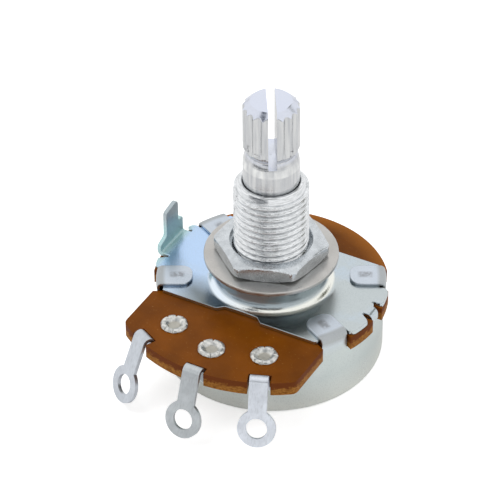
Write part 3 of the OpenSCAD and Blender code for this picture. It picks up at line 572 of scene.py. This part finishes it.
def pressed_plate():
    """Steel sheet under blue zinc plating: bluer towards the left ear, greenish at the foot of the lug and
    nearly grey on the right, as the passivation dries unevenly. It is dull on the lug and on the boss's
    wall. A painted dark reflection darkens the plate in front of the boss, the boss's wall is painted grey
    as shade, and a painted highlight makes it pale round the boss's foot."""
    material, tree, point = started("blue_zinc_plated_steel_pressed")
    x, y, z = (add(tree, "SeparateXYZ", [point], axis) for axis in "XYZ")
    r, level = axis_distance(tree, point), flatness(tree)
    cloud = noise(tree, point, 5.0, 4, (1, 1, 1), 0.6)
    grain = noise(tree, point, GRAIN_MM, 2)
    away = add(tree, "Math", [add(tree, "MapRange", [x, *mm(-9.0, 4.0)]),
                              add(tree, "MapRange", [y, *mm(-4.0, -8.0)])], operation="MAXIMUM")
    uneven = add(tree, "MapRange", [cloud, 0.3, 0.7, -0.25, 0.25])
    on_lug = add(tree, "MapRange", [x, *mm(*LUG_X)])
    lug = coated(tree, "#B4C0C5", (add(tree, "MapRange", [z, *mm(0.6, -0.8)]), "#B9DADD"))
    # painted reflection: the plate in front of the boss is painted dark grey
    painted_dark_reflection = mask(tree, (r, *mm(11.0, 8.4)), (y, *mm(-3.0, -6.0), 0, 0.8), (level, 0, 1))
    # painted shade: the boss's wall, under the washer, is painted grey
    painted_wall_shade = mask(tree, (r, *mm(6.4, 6.0)), (level, 0, 1, 0.6, 0.0))
    # painted highlight: the boss's foot is painted pale
    painted_foot_highlight = mask(tree, (r, *mm(6.0, 6.2)), (z, *mm(-2.97, -2.9)), (r, *mm(7.4, 7.2)))
    pale = coated(tree, "#E6F1FB", (add(tree, "MapRange", [x, *mm(-3.0, 2.0)]), "#F0F1EA"))
    colour = coated(tree, "#C0DAFA", (add(tree, "Math", [away, uneven], operation="ADD"), "#C6CED0"),
                    (on_lug, lug), (painted_dark_reflection, "#666D6B"),
                    (add(tree, "MapRange", [grain, 0.52, 0.75, 0, 0.32]), GRAIN_GREY),
                    (painted_wall_shade, "#8E9C9E"), (painted_foot_highlight, pale))
    dull = add(tree, "Math", [add(tree, "MapRange", [on_lug, 0, 1, 0, 0.5]),
                              add(tree, "MapRange", [painted_wall_shade, 0, 0.6, 0, 0.45])], operation="MAXIMUM")
    metallic = add(tree, "Math", [1.0, dull], operation="SUBTRACT")
    rough = add(tree, "Math", [add(tree, "MapRange", [cloud, 0.3, 0.7, 0.19, 0.27]),
                               add(tree, "MapRange", [r, *mm(7.6, 7.0), 0, -0.06])], operation="ADD")
    return finished(material, colour, rough, metallic, grain, 0.010)


def punched_terminal():
    """Silver-plated brass strip, punched and folded: satin, brushed along the leg, palest on the right,
    the middle one darker."""
    material, tree, point = started("silver_plated_brass_punched")
    x = add(tree, "SeparateXYZ", [point], "X")
    aside = add(tree, "Math", [x], operation="ABSOLUTE")
    to_right = add(tree, "MapRange", [x, *mm(-3.0, 3.0)])
    cloud = clouds(tree, point, 1.2, 4, (1, 1, 1), 0.6)
    grain = noise(tree, point, 0.14, 3, (1, 4, 4))
    outer = coated(tree, coated(tree, "#C0C5CC", (to_right, "#DBE0E8")),
                   (cloud, coated(tree, "#D0D5DC", (to_right, "#EDF2FA"))))
    colour = coated(tree, "#BEC3C6", (cloud, "#D0D5D8"),
                    (add(tree, "MapRange", [aside, *mm(3.0, 4.0)]), outer),
                    (add(tree, "MapRange", [grain, 0.5, 0.75, 0, 0.2]), "#77797A"))
    rough = add(tree, "MapRange", [cloud, 0, 1, 0.34, 0.42])
    return finished(material, colour, rough, 1.0, grain, 0.007)


def eyelet_metal():
    """Silver-plated brass, upset cold: bright petals, and a dull beige solder skin down in the bore."""
    material, tree, point = started("silver_plated_brass_upset")
    z = add(tree, "SeparateXYZ", [point], "Z")
    above = add(tree, "MapRange", [z, *mm(WAFER_TOP - 0.08, WAFER_TOP + 0.08)])
    cloud = add(tree, "MapRange", [noise(tree, point, 0.4, 4), 0.35, 0.65])
    colour = coated(tree, "#C4C1B7", (above, coated(tree, "#B6B8B7", (cloud, "#EAE9E4"))))
    rough = add(tree, "MapRange", [above, 0, 1, 0.6, 0.33])
    return finished(material, colour, rough, 1.0, noise(tree, point, 0.18), 0.008)


def plain(name, colour, roughness, metallic=0.0):
    """A hidden piece: one colour with a faint mottle and a fine grain."""
    material, tree, point = started(name)
    mottle = add(tree, "MapRange", [noise(tree, point, 1.5), 0.3, 0.7, 0, 0.12])
    return finished(material, coated(tree, colour, (mottle, "#808080")), roughness, metallic,
                    noise(tree, point, 0.2, 2), 0.006)


ALUMINIUM = turned_aluminium()
NICKEL = threaded_nickel()
NUT_METAL = plated_metal("nickel_plated_steel_pressed", "#BFC4C8", "#DADFE3", 0.24,
                         patch_mm=1.0, grain_mm=0.14, grain_depth=0.011, freckle=0.18)
WASHER_METAL = plated_metal("nickel_plated_steel_blanked", "#BAB8B4", "#CAC8C5", 0.32,
                            patch_mm=2.0, grain_mm=0.12, grain_depth=0.006, freckle=0.2)
ZINC_SHEET = pressed_plate()
CAN_METAL = can_metal()
TERMINAL_METAL = punched_terminal()
EYELET_METAL = eyelet_metal()
LAMINATE = laminate()
CARBON = plain("carbon_film_printed", "#1E1E20", 0.6)
SILVER_INK = plain("silver_film_printed", "#B4B2AC", 0.45, 1.0)
ACETAL = plain("acetal_moulded", "#D8D2BE", 0.45)
BRONZE = plain("phosphor_bronze_rolled", "#C79A55", 0.28, 1.0)
SPRING_STEEL = plain("spring_steel_oiled", "#6A6A6C", 0.35, 1.0)


# Dressing the frame

def dress(piece, body, slot, material, *nodes):
    """The piece rides on a body, stands for those nodes and takes the material. Its slot is not used."""
    piece.data.materials.append(material)
    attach(piece, body)
    if nodes:
        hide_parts(*nodes)


SHEET_PIECES = [                      # node, slot, material, width of its rounded edges, clamped or not
    ("mounting_plate", "plate", ZINC_SHEET, 0.09, False),
    ("rear_can", "can", CAN_METAL, 0.12, False),
    ("wafer", "laminate", LAMINATE, 0.05, True),
    ("terminal_left", "terminal", TERMINAL_METAL, 0.08, True),
    ("terminal_centre", "terminal", TERMINAL_METAL, 0.08, True),
    ("terminal_right", "terminal", TERMINAL_METAL, 0.08, True)]
for node, slot, material, width, clamp in SHEET_PIECES:
    dress(edged(node + "_edged", node, width, clamp), "housing", slot, material, node)

shaft = shaft_pieces()
dress(shaft[0], "spindle", "shaft", ALUMINIUM, "shaft")
for half in shaft[1:]:
    dress(half, "spindle", "shaft", ALUMINIUM)
dress(bushing_piece(), "housing", "bushing", NICKEL, "bushing")
dress(nut_piece(), "housing", "nut", NUT_METAL, "hex_nut")
washer = rounded([(WASHER_R[0], WASHER_Z[0]), (WASHER_R[1], WASHER_Z[0]),
                  (WASHER_R[1], WASHER_Z[1]), (WASHER_R[0], WASHER_Z[1])], 0.1)
dress(turned("flat_washer_turned", washer, 160), "housing", "washer", WASHER_METAL, "flat_washer")
for seed, (side, place) in enumerate(EYELET_PLACES.items()):
    dress(eyelet_piece("eyelet_" + side + "_upset", place, seed), "housing", "eyelet", EYELET_METAL,
          "eyelet_" + side)

# Pieces hidden in the can keep the frame's own shapes.
KEPT_NODES = {"resistive_track": CARBON, "track_end_left": SILVER_INK, "track_end_right": SILVER_INK,
              "conductor_ring": SILVER_INK, "rotor": ACETAL, "wiper": BRONZE,
              "retaining_ring": SPRING_STEEL, "thrust_washer": SPRING_STEEL}
for node, material in KEPT_NODES.items():
    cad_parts[node].data.materials.clear()
    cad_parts[node].data.materials.append(material)


# Studio

FILL = 0.55                           # light of the white room on the object
FLOOR_HALF = 1500.0
FLOOR_DROP = 0.02                     # the floor lies this far under the can's back
CARD_DISTANCE = 650.0
LAMP_DISTANCE = 0.5                   # in metres
DARK_CARDS = {                        # azimuths, elevations, colour
    "studio_behind_camera": ((-10, 50), (29, 46), "#23292C"),
    "studio_behind_left": ((-34, -2), (50, 64), "#2C3848"),
    "studio_low_right": ((136, 160), (28, 46), "#68695D"),
    "studio_horizon_left": ((-46, 18), (-4, 8), "#28323E")}
SOFTBOXES = {                         # azimuth, elevation, width in metres, watts
    "key_softbox": (-40, 60, 0.35, 1.2),
    "side_softbox": (100, 40, 0.3, 0.6)}
CAMERA_AZIMUTH = 28.53
CAMERA_ELEVATION = 38.02
CAMERA_DISTANCE = 0.33004             # in metres
LENS = 224.6
SENSOR = 36.0
IMAGE = 500.0
TARGET_PIXEL = (271.26, 254.63)       # where the mounting face's centre lies in the photograph


def white_world():
    """White wherever the camera, a reflection or a refraction looks, and a softer fill on the object."""
    world = bpy.data.worlds.new("studio")
    tree = empty_tree(world)
    rays = [add(tree, "LightPath", out=ray)
            for ray in ("Is Camera Ray", "Is Glossy Ray", "Is Transmission Ray")]
    seen = reduce(lambda a, b: add(tree, "Math", [a, b], operation="MAXIMUM"), rays)
    strength = add(tree, "MapRange", [seen, 0, 1, FILL, 1.0])
    background = add(tree, "Background", {"Color": "#FFFFFF", "Strength": strength})
    add(tree, "OutputWorld", {"Surface": background})
    bpy.context.scene.world = world


def floor_piece(z):
    """A pale floor under the can's back, lifted to white for the camera, so that only the object's
    shadow shows on it, and a little less for reflections."""
    half = FLOOR_HALF
    floor = make_mesh("studio_floor", [(-half, -half, z), (half, -half, z), (half, half, z),
                                       (-half, half, z)], [(0, 1, 2, 3)])
    material = bpy.data.materials.new("floor_paper")
    tree = empty_tree(material)
    lifts = [add(tree, "MapRange", [add(tree, "LightPath", out=ray), 0, 1, 0, lift])
             for ray, lift in (("Is Camera Ray", 0.5), ("Is Glossy Ray", 0.1))]
    glow = add(tree, "Emission", {"Color": "#FFFFFF",
                                  "Strength": add(tree, "Math", lifts, operation="MAXIMUM")})
    both = add(tree, "AddShader", [add(tree, "BsdfDiffuse", {"Color": "#F4F4F4"}), glow])
    add(tree, "OutputMaterial", {"Surface": both})
    floor.data.materials.append(material)


def dark_card(name, azimuths, elevations, colour):
    """A dim part of the room, which only reflections show: a patch of a sphere about the object between
    two azimuths and two elevations, in degrees."""
    a, e = np.meshgrid(np.radians(np.linspace(*azimuths, 33)), np.radians(np.linspace(*elevations, 17)))
    points = CARD_DISTANCE * np.stack([np.sin(a) * np.cos(e), -np.cos(a) * np.cos(e), np.sin(e)], -1)
    card = grid_mesh(name, points, closed=False)
    material = bpy.data.materials.new(name + "_cloth")
    tree = empty_tree(material)
    glow = add(tree, "Emission", {"Color": colour, "Strength": 1.0})
    add(tree, "OutputMaterial", {"Surface": glow})
    card.data.materials.append(material)
    card.visible_camera = False
    card.visible_diffuse = False
    card.visible_shadow = False
    card.visible_transmission = False


def direction(azimuth, elevation):
    """Unit vector towards a viewer whose line of sight has that azimuth, zero along +Y, and elevation."""
    a, e = math.radians(azimuth), math.radians(elevation)
    return Vector((math.sin(a) * math.cos(e), -math.cos(a) * math.cos(e), math.sin(e)))


def aimed(holder, azimuth, elevation, distance):
    """Stands a lamp or a camera at a distance in metres from the object, facing it."""
    away = direction(azimuth, elevation)
    holder.matrix_world = (Matrix.Translation(away * distance)
                           @ away.to_track_quat("Z", "Y").to_matrix().to_4x4())


def softbox(name, azimuth, elevation, size, watts):
    """A square area lamp that faces the object and isn't seen in metal."""
    lamp = bpy.data.lights.new(name, "AREA")
    lamp.shape = "SQUARE"
    lamp.size = size
    lamp.energy = watts
    holder = placed(name, lamp)
    holder.visible_glossy = False
    aimed(holder, azimuth, elevation, LAMP_DISTANCE)


camera = bpy.data.cameras.new("camera")
camera.lens = LENS
camera.sensor_width = SENSOR
camera.shift_x = (IMAGE / 2 - TARGET_PIXEL[0]) / IMAGE
camera.shift_y = (TARGET_PIXEL[1] - IMAGE / 2) / IMAGE
camera.clip_start = 0.01
camera.clip_end = 20
viewer = placed("camera", camera)
aimed(viewer, CAMERA_AZIMUTH, CAMERA_ELEVATION, CAMERA_DISTANCE)
bpy.context.scene.camera = viewer

white_world()
floor_piece(CAD_BOX[0][2] / MM - FLOOR_DROP)
for name, card in DARK_CARDS.items():
    dark_card(name, *card)
for name, lamp in SOFTBOXES.items():
    softbox(name, *lamp)
bpy.context.scene.view_settings.view_transform = "Standard"
